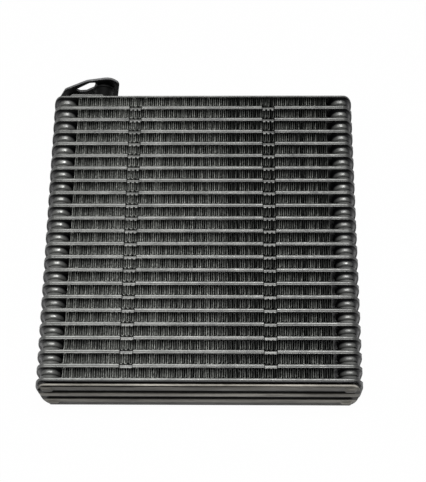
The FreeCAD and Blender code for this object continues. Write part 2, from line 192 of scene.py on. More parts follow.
def rounded_corners(corners, radius, arc=6):
    """A closed polygon of (x, z) corners whose corners are rounded off."""
    points = []
    for i, corner in enumerate(corners):
        here = Vector(corner)
        back = (Vector(corners[i - 1]) - here).normalized()
        ahead = (Vector(corners[(i + 1) % len(corners)]) - here).normalized()
        half = math.acos(max(-1, min(1, back.dot(ahead)))) / 2
        reach = radius / math.tan(half)
        centre = here + (back + ahead).normalized() * radius / math.sin(half)
        start, end = here + back * reach - centre, here + ahead * reach - centre
        sweep = start.angle_signed(end)
        for k in range(arc + 1):
            arm = start.copy()
            arm.rotate(Matrix.Rotation(-sweep * k / arc, 2))
            points.append(tuple(centre + arm))
    return points


def finish_mesh(bm, name, sharp=35):
    """Turns the faces outwards, marks the sharp edges and links the mesh as an object."""
    bmesh.ops.recalc_face_normals(bm, faces=bm.faces[:])
    mesh = bpy.data.meshes.new(name)
    bm.to_mesh(mesh)
    bm.free()
    mesh.shade_smooth()
    mesh.set_sharp_from_angle(angle=math.radians(sharp))
    piece = bpy.data.objects.new(name, mesh)
    scene.collection.objects.link(piece)
    return piece


# %% [markdown]
# ## One helper for nodes
#
# Finishes and geometry trees are both made of nodes, so one function adds a node, sets it up and
# wires it. A keyword names an input, with _ for a space, or i0, i1 and so on give its place.

# %% Node helpers
def add(tree, kind, settings=None, **sockets):
    """Adds a node, sets its properties, and links or sets its inputs by name or by place."""
    node = tree.nodes.new(kind)
    for key, value in (settings or {}).items():
        setattr(node, key, value)
    for key, value in sockets.items():
        by_place = key[0] == "i" and key[1:].isdigit()
        socket = node.inputs[int(key[1:]) if by_place else key.replace("_", " ")]
        if isinstance(value, bpy.types.NodeSocket):
            tree.links.new(value, socket)
        else:
            socket.default_value = value
    return node


def compute(tree, kind, operation, *values):
    """The result of a Math or a VectorMath node for the values, which are sockets or numbers."""
    sockets = {"i%d" % i: value for i, value in enumerate(values)}
    return add(tree, "ShaderNode" + kind, {"operation": operation}, **sockets).outputs[0]


def grey(tone):
    """A colour with three equal parts."""
    return tone, tone, tone


# %% [markdown]
# ## Finishes
#
# The core is bare aluminium that went through a brazing furnace, so it is dull, a little uneven
# and darker where flux has stained it. Each finish is one Principled shader. Noise on the Object
# coordinates drives its colour, its roughness and a fine bump, so that the pattern stays with the
# piece and needs no unwrapping. The painted shade that the mesh carries darkens it in the recesses,
# where shadow falls.

# %% A helper for the finishes
GRAIN_BUMP = 0.0002


def mottled_metal(name, dark, light, stain, shade_colour, metallic, rough, specular, grain=900.0, cloud=70.0,
                  bump=0.12, stretch=(1.0, 1.0, 1.0), painted_light_by_facing=None, depth_shade=None, painted_bands=None):
    """Sheet metal whose colour goes from dark to light in clouds, with a fine grain and stains.

    Painted shade from the mesh darkens it to shade_colour and takes its metallic shine. stretch
    draws the clouds out along an axis. painted_light_by_facing names an axis, two levels of how far a
    face looks along it, and the factors for its colour below and above them: painted shade where a
    factor is below 1 and a painted highlight where it is above 1. depth_shade, a pair of distances
    from the core's middle plane, paints shade inside the first and none outside the second, as in the
    shadowed fin channels. painted_bands, (z in millimetres, factor) pairs, are painted shade and highlight
    in lines along a sheet."""
    material = bpy.data.materials.new(name)
    material.use_nodes = True
    tree = material.node_tree
    shader = tree.nodes["Principled BSDF"]
    shader.inputs["Specular IOR Level"].default_value = specular
    place = add(tree, "ShaderNodeTexCoord").outputs["Object"]
    spaced = compute(tree, "VectorMath", "MULTIPLY", place, stretch)

    def noise_at(scale, detail):
        return add(tree, "ShaderNodeTexNoise", Vector=spaced, Scale=scale, Detail=detail,
                   Roughness=0.6).outputs["Fac"]

    def ramp(value, low, high, first, last):
        node = add(tree, "ShaderNodeValToRGB", Fac=value)
        for stop, position, colour in zip(node.color_ramp.elements, (low, high), (first, last)):
            stop.position, stop.color = position, (*colour, 1)
        return node.outputs["Color"]

    def mixed(first, second, amount, kind="MIX"):
        return add(tree, "ShaderNodeMix", {"data_type": "RGBA", "blend_type": kind}, Factor=amount,
                   A=first, B=second).outputs["Result"]

    clouds, specks = noise_at(cloud, 5), noise_at(grain, 3)
    colour = mixed(ramp(clouds, 0.32, 0.68, dark, light), ramp(specks, 0.25, 0.75, grey(0.72), grey(1.18)),
                   1.0, "MULTIPLY")
    stains = ramp(noise_at(cloud * 2.7, 4), 0.56, 0.74, grey(0), grey(0.7))
    colour = mixed(colour, (*stain, 1), stains)
    # Painted light by facing: a face is painted darker or lighter by the way it turns, as light falls on
    # it.
    if painted_light_by_facing:
        axis, level, full, less, more = painted_light_by_facing
        normal = add(tree, "ShaderNodeNewGeometry").outputs["Normal"]
        part = add(tree, "ShaderNodeSeparateXYZ", i0=normal).outputs[axis]
        turned = compute(tree, "Math", "ABSOLUTE", part)
        colour = mixed(colour, ramp(turned, level, full, grey(less), grey(more)), 1.0, "MULTIPLY")
    height = add(tree, "ShaderNodeSeparateXYZ", i0=place).outputs["Z"]
    # Painted shade and painted highlight in lines along z.
    if painted_bands:
        lines = add(tree, "ShaderNodeValToRGB", Fac=compute(tree, "Math", "DIVIDE", height, DEPTH * MM))
        stops = lines.color_ramp.elements
        for z, tone in painted_bands[1:-1]:
            stops.new(z / DEPTH).color = (*grey(tone), 1)
        stops[0].color = (*grey(painted_bands[0][1]), 1)
        stops[-1].color = (*grey(painted_bands[-1][1]), 1)
        colour = mixed(colour, lines.outputs["Color"], 1.0, "MULTIPLY")
    # The painted shade from the mesh darkens the colour towards the shade colour.
    painted_shade = add(tree, "ShaderNodeAttribute", {"attribute_name": "painted_shade"}).outputs["Fac"]
    colour = mixed(colour, (*shade_colour, 1), painted_shade)
    # Painted shade deep in the core, where the fin channels lie in shadow.
    if depth_shade:
        away = compute(tree, "Math", "ABSOLUTE", compute(tree, "Math", "SUBTRACT", height, MIDDLE * MM))
        reach = add(tree, "ShaderNodeMapRange", Value=away, From_Min=depth_shade[0], From_Max=depth_shade[1])
        colour = mixed((*shade_colour, 1), colour, reach.outputs["Result"])
    # Where shade is painted, the metal loses its shine too.
    shine = add(tree, "ShaderNodeMapRange", Value=painted_shade, To_Min=metallic, To_Max=0.0)
    spread = ramp(noise_at(cloud * 4, 4), 0.3, 0.7, grey(rough - 0.08), grey(rough + 0.12))
    relief = add(tree, "ShaderNodeBump", Strength=bump, Distance=GRAIN_BUMP, Height=specks)
    for socket, output in (("Base Color", colour), ("Metallic", shine.outputs["Result"]),
                           ("Roughness", spread), ("Normal", relief.outputs["Normal"])):
        tree.links.new(output, shader.inputs[socket])
    return material


# %% The finishes of this core
PLATE_METAL = mottled_metal(
    "brazed plate", dark=(0.17, 0.173, 0.165), light=(0.285, 0.288, 0.275), stain=(0.10, 0.10, 0.105),
    shade_colour=(0.005, 0.005, 0.006), metallic=0.5, rough=0.37, specular=0.3)
# The fin sheet: painted shade on the legs' flat sides, which look along X, darkens the gaps between legs,
# and painted shade deep in the core darkens the channels.
FIN_METAL = mottled_metal(
    "fin sheet", dark=(0.05, 0.055, 0.045), light=(0.9, 0.92, 0.86), stain=(0.05, 0.055, 0.05),
    shade_colour=(0.004, 0.005, 0.004), metallic=0.15, rough=0.55, specular=0.3, grain=600.0, cloud=420.0,
    painted_light_by_facing=("X", 0.82, 0.97, 1.0, 0.05), depth_shade=(0.0205, 0.0288))
# Painted shade in bands along the side plate where the beads cast shadow, and a painted highlight on its
# lit front lip, where the factor is above 1.
SIDE_PAINTED_BANDS = [(0.0, 0.1), (8.5, 0.12), (11.0, 0.75), (17.5, 0.85), (19.5, 0.1), (27.5, 0.1), (30.0, 0.85),
              (36.0, 0.9), (38.5, 0.1), (46.0, 0.13), (49.0, 0.42), (55.5, 0.5), (57.5, 1.1), (60.0, 1.3)]
SIDE_METAL = mottled_metal(
    "side plate sheet", dark=(0.13, 0.122, 0.105), light=(0.52, 0.495, 0.44), stain=(0.09, 0.083, 0.07),
    shade_colour=(0.008, 0.008, 0.007), metallic=0.08, rough=0.45, specular=0.04, stretch=(0.22, 1.0, 1.0),
    painted_bands=SIDE_PAINTED_BANDS)
# Painted highlight: the flange's edges that face front and back are painted 38 times lighter, as its lit
# rim.
BLACK_COAT = mottled_metal(
    "satin black coat", dark=grey(0.003), light=grey(0.006), stain=(0.009, 0.009, 0.01),
    shade_colour=grey(0.002), metallic=0.0, rough=0.5, specular=0.08, grain=1400.0, cloud=110.0, bump=0.25,
    painted_light_by_facing=("Z", 0.08, 0.6, 1.0, 38.0))
PIPE_COAT = mottled_metal(
    "dull black pipe", dark=grey(0.002), light=grey(0.004), stain=grey(0.006),
    shade_colour=grey(0.002), metallic=0.0, rough=0.6, specular=0.15, grain=1400.0, cloud=110.0, bump=0.2)
print("finishes:", [m.name for m in (PLATE_METAL, FIN_METAL, SIDE_METAL, BLACK_COAT, PIPE_COAT)])

# %% [markdown]
# ## The edge of a plate pair
#
# Two stamped plates are brazed face to face. Seen from the front, each tube is a band with a
# rolled lip above and below a fine seam. The profile below is that edge: how far in, and how high
# above the seam. At two places a fixture notch interrupts the lips, and a plain rim a little
# further back shows, so there the profile blends to a second one. Each point of a profile has its
# painted shade, from bare metal at the front to painted dark where the fins meet the plate.

# %% Edge profiles
LIP = [(0.75, 1.5), (0.52, 1.6), (0.22, 1.58), (0.04, 1.36), (0.0, 0.9), (0.04, 0.38), (0.16, 0.0)]
# Painted shade on each lip point, dark where the fins meet the plate and in the notch.
LIP_SHADE = [0.9, 0.8, 0.5, 0.18, 0.0, 0.05, 0.25]
NOTCHED_LIP = [(3.8, 1.5), (3.4, 1.52), (3.05, 1.45), (2.85, 1.2), (2.75, 0.85), (2.75, 0.4), (2.85, 0.0)]
NOTCH_SHADE = [0.7, 0.5, 0.3, 0.1, 0.0, 0.0, 0.25]
NOTCH_CENTRE, NOTCH_HALF, NOTCH_BLEND = 57.0, 5.1, 0.9
NOTCH_LIMIT = 70.0
# Painted shade grows to the right, on the lips and on the whole plate, to even out the key lamp's sheen
# there.
RIGHT_LIP_SHADE = [0.05, 0.1, 0.25, 0.3, 0.05, 0.0, 0.0]
LIP_SHADE_FROM, LIP_SHADE_FULL = -60.0, 0.0
RIGHT_SHADE, RIGHT_SHADE_FROM, RIGHT_SHADE_FULL = 0.22, -60.0, 110.0
# Painted shade round the ends of the plates, where their sides turn away from the light.
END_SHADE, END_FROM, END_FULL = 0.65, 121.0, 127.0
PLATE_CORNERS = [(9.0, 21.0), (9.5, 25.0), (9.5, 25.0), (9.0, 21.0)]


def notch_share(x):
    """0 on the plain front edge, 1 in a fixture notch."""
    away = abs(abs(x) - NOTCH_CENTRE) - NOTCH_HALF
    return smooth(-away, -NOTCH_BLEND / 2, NOTCH_BLEND / 2)


def end_shade(x):
    """Painted shade from x: at the round ends, where the sides turn away from the light, and growing to
    the right, where it evens out the key lamp's sheen.
    """
    return RIGHT_SHADE * smooth(x, RIGHT_SHADE_FROM, RIGHT_SHADE_FULL) + END_SHADE * smooth(abs(x), END_FROM, END_FULL)


def plate_outline(notched):
    """The plate's outline, with each point's share of the notch."""
    points = rounded_box((-HALF_WIDTH, 0), (HALF_WIDTH, DEPTH), PLATE_CORNERS, arc=10)
    if not notched:
        return points, [0.0] * len(points)
    result = []
    for (x, z), (next_x, next_z) in zip(points, points[1:] + points[:1]):
        result.append((x, z))
        if z == next_z and z > MIDDLE:
            extra = [s * NOTCH_CENTRE + t * (NOTCH_HALF + NOTCH_BLEND * k)
                     for s in (1, -1) for t in (1, -1) for k in (-0.5, -0.25, 0, 0.25, 0.5)]
            inside = sorted((e for e in extra if min(x, next_x) + 0.1 < e < max(x, next_x) - 0.1),
                            reverse=x > next_x)
            result += [(e, z) for e in inside]
    return result, [notch_share(x) if z > MIDDLE + 1 and abs(x) < NOTCH_LIMIT else 0.0
                    for x, z in result]


def edge_rings(bm, notched, middle, scale=1.0, lip_shades=(LIP_SHADE, LIP_SHADE)):
    """The rings of a plate pair's edge, from its upper face to its lower, with the painted shade of both
    lips.
    """
    outline, shares = plate_outline(notched)
    layer = bm.verts.layers.float["painted_shade"]
    rings = []
    downwards = range(len(LIP))
    for sign, order, shaded_lip in ((1, downwards, lip_shades[0]), (-1, downwards[-2::-1], lip_shades[1])):
        for i in order:
            plain, cut = LIP[i], NOTCHED_LIP[i]
            inner, deep = inset(outline, plain[0]), inset(outline, cut[0])
            points, heights, painted_shade = [], [], []
            for p, q, share in zip(inner, deep, shares):
                points.append((p[0] * (1 - share) + q[0] * share, p[1] * (1 - share) + q[1] * share))
                heights.append(middle + sign * scale * (plain[1] * (1 - share) + cut[1] * share))
                lip_right_shade = RIGHT_LIP_SHADE[i] * smooth(p[0], LIP_SHADE_FROM, LIP_SHADE_FULL)
                painted_shade.append((shaded_lip[i] + lip_right_shade) * (1 - share) + NOTCH_SHADE[i] * share)
            rings.append(ring(bm, points, heights, shade=end_shade))
            for vert, more in zip(rings[-1], painted_shade):
                vert[layer] = min(1.0, vert[layer] + more)
    return rings


print("points round a notched plate:", len(plate_outline(True)[0]))

# %% [markdown]
# ## The drawn cups
#
# Each plate has two cups at each end, one behind the other. A cup is drawn from the flat sheet: a
# tight radius at its foot, a wall that bows outwards, and a flat crown that is brazed to the cup of
# the next plate. A superellipse gives its plan, between a rectangle and an ellipse, and a short
# profile gives its wall. This is the shape that catches the light in the two header columns.

# %% One cup
# Each point of the profile: how far in, how high, and its painted shade, dark as in shadow at the foot and
# in the seam at the crown.
CUP_PROFILE = [(0.2, 0.0, 1.0), (1.0, 0.12, 1.0), (1.6, 0.45, 0.85), (1.95, 0.95, 0.5),
               (2.15, 1.5, 0.15), (2.27, 2.1, 0.0), (2.36, 2.7, 0.0), (2.5, 3.2, 0.0),
               (2.8, 3.65, 0.05), (3.3, 4.0, 0.3), (4.0, CUP_HEIGHT, 0.7)]
CUP_HALF = (10.6, 13.0)
CUP_CENTRES = [(x, MIDDLE + s * 14.4) for x in (-117.9, 119.4) for s in (-1, 1)]
CUP_POWER = 2.3
CUP_POINTS = 40
CUP_SIDE_SHADE = 0.75


def cup_plan(centre, inset_by):
    """The cup's outline, moved inwards: nearly an ellipse, so its wall turns away at both sides."""
    half_x, half_z = CUP_HALF[0] - inset_by, CUP_HALF[1] - inset_by
    points = []
    for i in range(CUP_POINTS):
        angle = math.tau * (i + 0.5) / CUP_POINTS
        c, s = math.cos(angle), math.sin(angle)
        points.append((centre[0] + half_x * math.copysign(abs(c) ** (2 / CUP_POWER), c),
                       centre[1] + half_z * math.copysign(abs(s) ** (2 / CUP_POWER), s)))
    return points


def add_cup(bm, centre, face, sign):
    """Lofts a cup out of a face at the height face, upwards or downwards, and returns its foot."""
    # Painted shade at the cup's sides, where its wall turns away from the light, narrows the highlight on
    # the bowl.
    def shade(x):
        return end_shade(x) + CUP_SIDE_SHADE * smooth(abs(x - centre[0]) / CUP_HALF[0], 0.2, 0.95)
    rings = [ring(bm, cup_plan(centre, inward), face + sign * rise, painted_shade, shade)
             for inward, rise, painted_shade in CUP_PROFILE]
    loft(bm, rings)
    bm.faces.new(rings[-1])
    return rings[0]


def plate_mesh(name, middle, cups_above, cups_below, notched, scale=1.0, lip_shades=(LIP_SHADE, LIP_SHADE)):
    """A plate pair, or an end sheet: its edge, its two faces and its cups."""
    bm = new_mesh()
    rings = edge_rings(bm, notched, middle, scale, lip_shades)
    loft(bm, rings)
    for wanted, edge, sign in ((cups_above, rings[0], 1), (cups_below, rings[-1], -1)):
        face = middle + sign * HALF_TUBE * scale
        feet = [add_cup(bm, centre, face, sign) for centre in CUP_CENTRES] if wanted else []
        fill_flat(bm, [edge] + feet)
    return finish_mesh(bm, name)


print("cups", 2 * CUP_HALF[0], "by", 2 * CUP_HALF[1], "mm, height", round(CUP_HEIGHT, 2))

# %% [markdown]
# ## A tree that stacks plates
#
# The 21 tubes are the same stamping, so Geometry Nodes repeat one mesh along the stack. After the
# instances are realized, a little noise moves the points by a tenth of a millimetre: brazed sheet
# is never quite straight, and the light along each band shows it.

# %% Geometry tree helpers
def new_tree(name, inputs):
    """An empty geometry tree with a geometry input and output and the named inputs."""
    tree = bpy.data.node_groups.new(name, "GeometryNodeTree")
    tree.interface.new_socket("Geometry", in_out="OUTPUT", socket_type="NodeSocketGeometry")
    tree.interface.new_socket("Geometry", in_out="INPUT", socket_type="NodeSocketGeometry")
    for label, kind in inputs:
        tree.interface.new_socket(label, in_out="INPUT", socket_type="NodeSocket" + kind)
    return tree, tree.nodes.new("NodeGroupInput"), tree.nodes.new("NodeGroupOutput")


def wobble(tree, geometry, amount, scale, stretch, seed):
    """Moves points by noise: amount is the reach along each axis, scale the size of the clouds."""
    place = add(tree, "GeometryNodeInputPosition").outputs["Position"]
    moved = compute(tree, "VectorMath", "MULTIPLY_ADD", place, stretch, seed)
    clouds = add(tree, "ShaderNodeTexNoise", Vector=moved, Scale=scale, Detail=2.0).outputs["Color"]
    centred = compute(tree, "VectorMath", "SUBTRACT", clouds, grey(0.5))
    shift = compute(tree, "VectorMath", "MULTIPLY", centred, amount)
    return add(tree, "GeometryNodeSetPosition", Geometry=geometry, Offset=shift).outputs["Geometry"]


def along(tree, count, start, step, axis):
    """A row of points along one axis, from start, step apart."""
    def vector(value):
        return add(tree, "ShaderNodeCombineXYZ", **{axis: value}).outputs[0]
    return add(tree, "GeometryNodeMeshLine", {"mode": "OFFSET"}, Count=count, Start_Location=vector(start),
               Offset=vector(step)).outputs["Mesh"]


def apply_tree(piece, tree, values, name):
    """Runs a tree on a piece and keeps the result as a plain mesh."""
    modifier = piece.modifiers.new(tree.name, "NODES")
    modifier.node_group = tree
    for item in tree.interface.items_tree:
        if item.in_out == "INPUT" and item.name in values:
            modifier[item.identifier] = values[item.name]
    bpy.context.view_layer.update()
    evaluated = piece.evaluated_get(bpy.context.evaluated_depsgraph_get())
    mesh = bpy.data.meshes.new_from_object(evaluated)
    mesh.name = name
    piece.modifiers.remove(modifier)
    made = bpy.data.objects.new(name, mesh)
    scene.collection.objects.link(made)
    return made


def keep(piece, slot, *replaced):
    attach(piece, "root")
    if replaced:
        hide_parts(*replaced)
    print(piece.name, "triangles", sum(len(p.vertices) - 2 for p in piece.data.polygons))


# %% Stack the tubes
stack, entry, leave = new_tree("Plate stack", [
    ("Count", "Int"), ("First", "Float"), ("Step", "Float"), ("Reach", "Vector"), ("Finish", "Material")])
points = along(stack, entry.outputs["Count"], entry.outputs["First"], entry.outputs["Step"], "Y")
copies = add(stack, "GeometryNodeInstanceOnPoints", Points=points, Instance=entry.outputs["Geometry"])
real = add(stack, "GeometryNodeRealizeInstances", Geometry=copies.outputs["Instances"]).outputs["Geometry"]
uneven = wobble(stack, real, entry.outputs["Reach"], scale=55.0, stretch=(1.0, 3.0, 1.0),
                seed=(3.1, 0.0, 0.0))
finished = add(stack, "GeometryNodeSetMaterial", Geometry=uneven, Material=entry.outputs["Finish"])
stack.links.new(finished.outputs["Geometry"], leave.inputs["Geometry"])

pair = plate_mesh("plate_pair", 0.0, True, True, True)
GROUP = 7
for start in range(0, len(TUBES), GROUP):
    names = TUBES[start:start + GROUP]
    values = {"Count": len(names), "First": (TUBE_TOP - start * PITCH) * MM, "Step": -PITCH * MM,
              "Reach": (0.00025, 0.0003, 0.0001), "Finish": PLATE_METAL}
    tubes = apply_tree(pair, stack, values, "tubes_%02d_to_%02d" % (start + 1, start + len(names)))
    keep(tubes, "tube_plate", *names)
bpy.data.objects.remove(pair)

# %% [markdown]
# ## The two ends of the stack
#
# The last tube at the lower end has cups on its inner face only, and the upper end is a single
# sheet. Both are made by the same function as the tubes, because they share the outline and the
# cups that they are brazed to.

# %% End tube and end sheet
# Painted shade on the end tube: its upper lip stays light, and its lower one is painted dark where it lies
# in the shadow above the side plate.
END_TUBE_SHADE = ([0.9, 0.7, 0.3, 0.0, 0.0, 0.0, 0.0], [1.0, 1.0, 1.0, 1.0, 0.9, 0.35, 0.0])
low_end = plate_mesh("end_tube", TUBE_TOP - len(TUBES) * PITCH, True, False, False, lip_shades=END_TUBE_SHADE)
low_end.data.materials.append(PLATE_METAL)
keep(low_end, "tube_plate", "end_tube_lower")
sheet_top = node_box("end_sheet_upper")[1].y
sheet_under = TUBE_TOP + PITCH - HALF_TUBE
top_end = plate_mesh("end_sheet", (sheet_top + sheet_under) / 2, False, True, False,
                     scale=(sheet_top - sheet_under) / 2 / HALF_TUBE)
top_end.data.materials.append(PLATE_METAL)
keep(top_end, "tube_plate", "end_sheet_upper")

# %% [markdown]
# ## The corrugated fins
#
# A fin is one long strip of thin sheet, bent to and fro between two tubes, with louvres cut into
# each leg. The wave is a rule, so a tree makes the strips: it repeats one bent wave along the
# width, sets tilted slats across each leg for the louvres, stacks the strips, and lets noise lean
# the legs as handling does to the real ones. It also stores the painted shade that the finish reads:
# a painted shadow of the tube above on the upper half of a strip, painted shade on every second leg
# as on sides turned from the lamp, darkening towards the right, and a random share for each leg.

# %% One wave of the fin
WAVES = 60
WAVE = (fin_high.x - fin_low.x) / WAVES
FIN_SHEET = 0.24
BEND_CUTS = 3
MERGE_WITHIN = 0.00002
LEG_EDGE = 0.3


def wave_mesh():
    """One wave from the middle of a lower bend to the next, as a closed-sided sheet."""
    radius = WAVE / 4
    reach = (fin_high.y - fin_low.y) / 2 - FIN_SHEET / 2
    turn = reach - radius
    path = []
    for centre_x, centre_y, first, sweep, cuts, flip in (
            (0, -turn, 270, 90, BEND_CUTS, 0), (2 * radius, turn, 180, -180, 2 * BEND_CUTS, math.pi),
            (4 * radius, -turn, 180, 90, BEND_CUTS, 0)):
        for i in range(cuts + 1):
            angle = math.radians(first + sweep * i / cuts)
            path.append((centre_x + radius * math.cos(angle), centre_y + radius * math.sin(angle),
                         angle + flip))
    bm = new_mesh()
    rows = []
    for x, y, angle in path:
        out = Vector((math.cos(angle), math.sin(angle))) * FIN_SHEET / 2
        sides = [(x + out.x, y + out.y), (x - out.x, y - out.y)]
        rows.append([bm.verts.new((px * MM, py * MM, z * MM))
                     for px, py in sides for z in (fin_high.z, fin_low.z)])
    for a, b in zip(rows, rows[1:]):
        for i, j in ((0, 1), (1, 3), (3, 2), (2, 0)):
            bm.faces.new((a[i], a[j], b[j], b[i]))
    return finish_mesh(bm, "fin_wave", sharp=50)


# %% The fin tree
fins, entry, leave = new_tree("Corrugated fins", [
    ("Waves", "Int"), ("Wave", "Float"), ("Width", "Float"),
    ("Strips", "Int"), ("First", "Float"), ("Step", "Float"),
    ("Slats", "Int"), ("Slat Size", "Vector"), ("Slat Step", "Float"), ("Slat Angle", "Float"),
    ("Front", "Float"), ("Rear", "Float"),
    ("Lit Below", "Float"), ("Shaded Above", "Float"), ("Upper Shade", "Float"), ("Shaded Legs", "Float"),
    ("Right Darkening", "Float"), ("Darkening From", "Float"), ("Darkening Full", "Float"), ("Uneven", "Float"),
    ("Lean", "Vector"), ("Bend", "Vector"), ("Finish", "Material")])


def value(operation, *values):
    """One step of arithmetic in the fin tree."""
    return compute(fins, "Math", operation, *values)


def ranged(number, low, high, most):
    """0 at low and most at high, or the other way round where low is above high."""
    return add(fins, "ShaderNodeMapRange", i0=number, i1=low, i2=high, i3=0.0, i4=most).outputs["Result"]


def copies_on(points, instance, **turned):
    """The instance on each point."""
    return add(fins, "GeometryNodeInstanceOnPoints", Points=points, Instance=instance,
               **turned).outputs["Instances"]


inputs = entry.outputs
left_end = value("MULTIPLY", inputs["Width"], -0.5)
row = along(fins, inputs["Waves"], left_end, inputs["Wave"], "X")
bent = copies_on(row, inputs["Geometry"])
bent = add(fins, "GeometryNodeRealizeInstances", Geometry=bent).outputs["Geometry"]
bent = add(fins, "GeometryNodeMergeByDistance", Geometry=bent, Distance=MERGE_WITHIN).outputs["Geometry"]

slat = add(fins, "GeometryNodeMeshCube", Size=inputs["Slat Size"]).outputs["Mesh"]
banks = add(fins, "GeometryNodeJoinGeometry")
for side, way in (("Front", -1.0), ("Rear", 1.0)):
    step = value("MULTIPLY", inputs["Slat Step"], way)
    fins.links.new(along(fins, inputs["Slats"], inputs[side], step, "Z"), banks.inputs["Geometry"])
tilt = add(fins, "ShaderNodeCombineXYZ", Y=inputs["Slat Angle"]).outputs[0]
louvres = copies_on(banks.outputs["Geometry"], slat, Rotation=tilt)
leg_start = value("ADD", left_end, value("MULTIPLY", inputs["Wave"], 0.25))
legs = along(fins, value("MULTIPLY", inputs["Waves"], 2.0), leg_start,
             value("MULTIPLY", inputs["Wave"], 0.5), "X")
louvres = copies_on(legs, louvres)

strip = add(fins, "GeometryNodeJoinGeometry")
fins.links.new(bent, strip.inputs["Geometry"])
fins.links.new(louvres, strip.inputs["Geometry"])
strip = add(fins, "GeometryNodeRealizeInstances", Geometry=strip.outputs["Geometry"])
where = add(fins, "ShaderNodeSeparateXYZ", i0=add(fins, "GeometryNodeInputPosition").outputs[0]).outputs
turns = value("DIVIDE", value("SUBTRACT", where["X"], left_end), inputs["Wave"])
phase = value("SINE", value("MULTIPLY", turns, math.tau))
chance = add(fins, "ShaderNodeTexWhiteNoise", {"noise_dimensions": "1D"},
             W=value("ROUND", value("MULTIPLY", turns, 2.0))).outputs["Value"]
# Painted shadow of the tube above on the upper half of a strip, painted shade on every second leg as on
# sides turned from the lamp, then darkening towards the right and a random share for each leg.
fin_shade = value("MAXIMUM", ranged(where["Y"], inputs["Lit Below"], inputs["Shaded Above"], inputs["Upper Shade"]),
             ranged(phase, LEG_EDGE, -LEG_EDGE, inputs["Shaded Legs"]))
right_darkening = ranged(where["X"], inputs["Darkening From"], inputs["Darkening Full"], inputs["Right Darkening"])
fin_shade = value("ADD", fin_shade, right_darkening)
fin_shade = value("ADD", fin_shade, value("MULTIPLY", value("SUBTRACT", chance, 0.5), inputs["Uneven"]))
fin_shade = value("MAXIMUM", value("MINIMUM", fin_shade, 1.0), 0.0)
# Stored as the painted shade that the fin finish reads.
strip = add(fins, "GeometryNodeStoreNamedAttribute", Geometry=strip.outputs["Geometry"],
            Name="painted_shade", Value=fin_shade)
rows = along(fins, inputs["Strips"], inputs["First"], inputs["Step"], "Y")
strips = copies_on(rows, strip.outputs["Geometry"])
strips = add(fins, "GeometryNodeRealizeInstances", Geometry=strips).outputs["Geometry"]
leaning = wobble(fins, strips, inputs["Lean"], scale=150.0, stretch=(1.6, 1.0, 0.25), seed=(0.0, 0.7, 0.0))
leaning = wobble(fins, leaning, inputs["Bend"], scale=420.0, stretch=(1.0, 0.6, 0.1), seed=(0.4, 0.0, 0.0))
finished = add(fins, "GeometryNodeSetMaterial", Geometry=leaning, Material=inputs["Finish"])
fins.links.new(finished.outputs["Geometry"], leave.inputs["Geometry"])
print("nodes in the fin tree:", len(fins.nodes))

# %% Make the fin strips
wave = wave_mesh()
print("one wave of", round(WAVE, 3), "mm has", len(wave.data.polygons), "faces")
FIN_GROUP = 6
for start in range(0, len(FINS), FIN_GROUP):
    names = FINS[start:start + FIN_GROUP]
    values = {
        "Waves": WAVES, "Wave": WAVE * MM, "Width": (fin_high.x - fin_low.x) * MM,
        "Strips": len(names), "First": (TUBE_TOP + (0.5 - start) * PITCH) * MM, "Step": -PITCH * MM,
        "Slats": 5, "Slat Size": (0.00012, 0.0056, 0.0016), "Slat Step": 0.0017,
        "Slat Angle": math.radians(-31),
        "Front": (fin_high.z - 2.2) * MM, "Rear": (fin_low.z + 2.2) * MM,
        # Painted shade of the strips: the upper shadow, the shaded legs, the darkening to the right and a
        # random share.
        "Lit Below": -0.0008, "Shaded Above": 0.0014, "Upper Shade": 0.9, "Shaded Legs": 0.35,
        "Right Darkening": 0.6, "Darkening From": -0.07, "Darkening Full": 0.08, "Uneven": 1.1,
        "Lean": (0.0011, 0.0, 0.0), "Bend": (0.0006, 0.0, 0.0), "Finish": FIN_METAL}
    strips = apply_tree(wave, fins, values, "fins_%02d_to_%02d" % (start + 1, start + len(names)))
    keep(strips, "fin_strip", *names)
bpy.data.objects.remove(wave)

# %% [markdown]
# ## The lower side plate
#
# The lower end is closed by a stamped plate. Two long beads are pressed in and touch the last
# tube, and four bosses stand out at the corners. Its outer face is a flat sheet with these shapes
# let into it, so it is filled around them and each one is lofted in or out.

